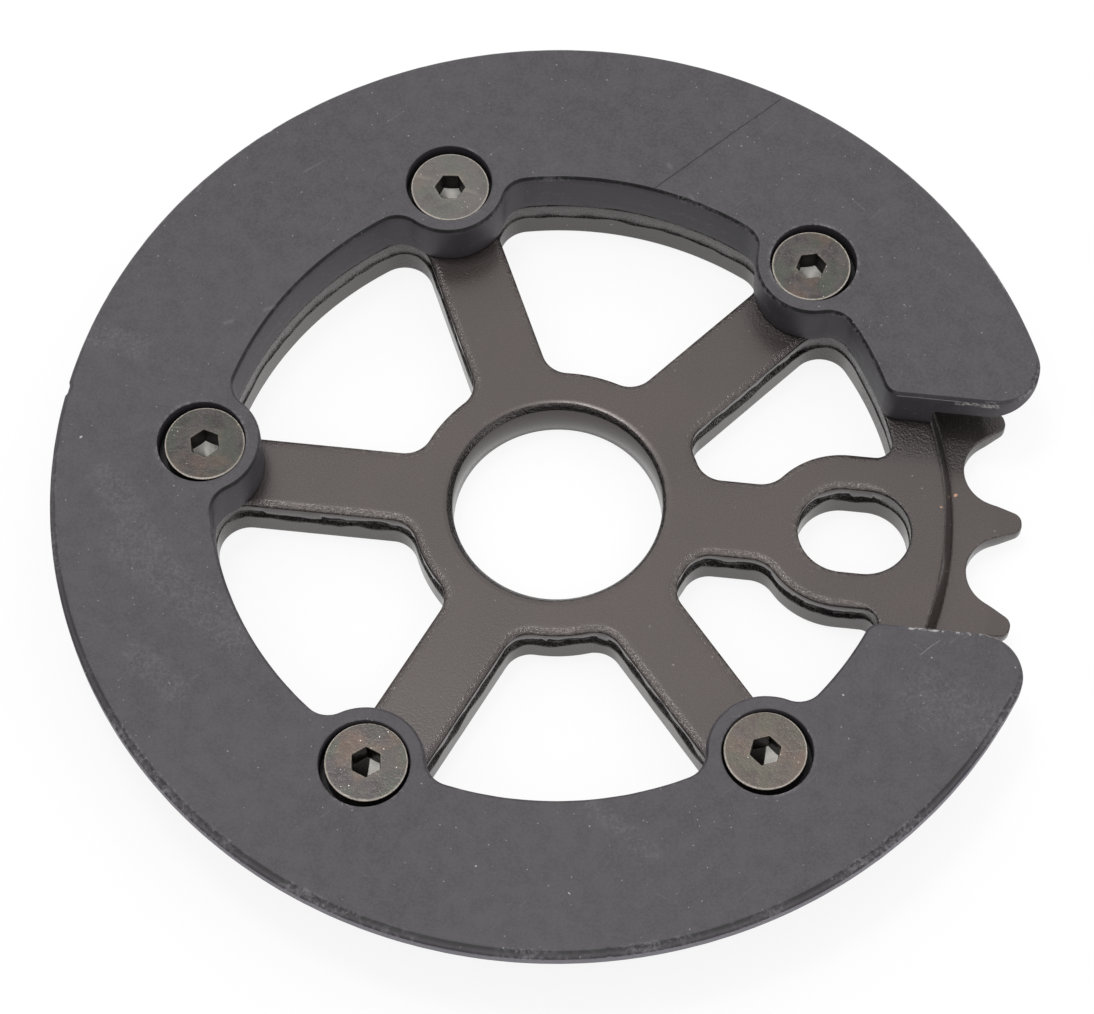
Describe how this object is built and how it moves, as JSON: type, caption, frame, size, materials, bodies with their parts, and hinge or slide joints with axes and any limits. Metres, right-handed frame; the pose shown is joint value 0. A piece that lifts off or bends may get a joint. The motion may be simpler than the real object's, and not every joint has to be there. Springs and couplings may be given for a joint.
{
  "type": "bmx sprocket",
  "caption": "BMX chain sprocket with spokes, a slotted driving lug and a bolted C-shaped plastic bash guard.",
  "frame": {"origin": "centre of the spindle bore, in the plane that halves the teeth (the chain line)", "axes": "+Z out of the front face, the guard's side; +X through the middle of the driving bolt's slot"},
  "size_m": [0.1104, 0.114, 0.0126],
  "materials": {
    "alloy": "dark anodising gone brown-grey, satin, with fine orange peel and worn edges",
    "guard": "matte dark grey moulded nylon with dust, light scratches and whitish scuffs on the edges",
    "bolt_steel": "black oxide on steel, mottled green-brown, with a light worn rim"
  },
  "bodies": {
    "root": {"sprocket": "alloy", "guard_ring": "guard", "guard_bolt_1": "bolt_steel", "guard_bolt_2": "bolt_steel", "guard_bolt_3": "bolt_steel", "guard_bolt_4": "bolt_steel", "guard_bolt_5": "bolt_steel"}
  },
  "joints": []
}
